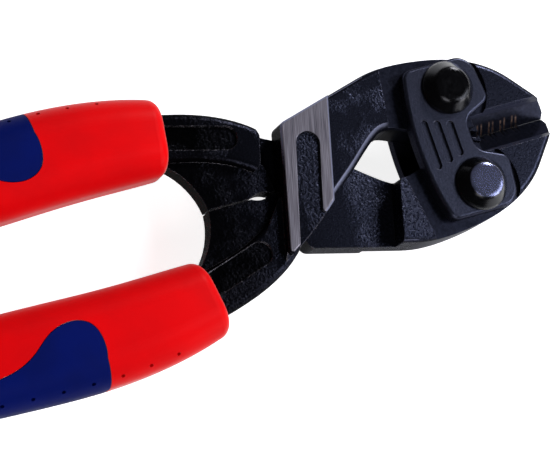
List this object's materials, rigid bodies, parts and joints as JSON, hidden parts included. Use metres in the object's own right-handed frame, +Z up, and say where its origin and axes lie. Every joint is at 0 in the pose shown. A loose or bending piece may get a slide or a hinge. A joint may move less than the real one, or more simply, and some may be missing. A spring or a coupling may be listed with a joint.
{
  "type": "compact bolt cutter",
  "caption": "Hand-held compact bolt cutter: crossed forged levers with bevelled cutting jaws, linked by riveted side plates, on moulded two-tone handle grips.",
  "frame": {"origin": "bottom centre of the closed tool's bounding box, as it lies on its rear rivet heads", "axes": "+X along the tool to the jaw tips, +Y to the upper handle, +Z up, along the rivets"},
  "size_m": [0.2, 0.0594, 0.0213],
  "materials": {
    "black_steel": "blackened forging, satin",
    "plate_steel": "blackened, smooth",
    "rivet_steel": "blackened, polished",
    "blue_core": "moulded, satin",
    "red_cover": "moulded, glossy"
  },
  "bodies": {
    "head_link": {"front_side_plate": "plate_steel", "rear_side_plate": "plate_steel", "upper_jaw_rivet": "rivet_steel", "lower_jaw_rivet": "rivet_steel"},
    "lower_lever": {"lower_handle_lever": "black_steel", "lower_grip_core": "blue_core", "lower_grip_cover": "red_cover"},
    "upper_lever": {"upper_handle_lever": "black_steel", "upper_grip_core": "blue_core", "upper_grip_cover": "red_cover"}
  },
  "joints": [
    {"name": "lower_lever_pivot", "type": "hinge", "parent": "head_link", "child": "lower_lever", "pos_m": [0.0763, 0.01115, 0.01065], "axis": [0, 0, 1], "range_deg": [0, 16]},
    {"name": "upper_lever_pivot", "type": "hinge", "parent": "head_link", "child": "upper_lever", "pos_m": [0.0763, -0.01115, 0.01065], "axis": [0, 0, 1], "range_deg": [-16, 0]}
  ],
  "couplings": [
    {"joint": "upper_lever_pivot", "follows": "lower_lever_pivot", "ratio": -1}
  ]
}
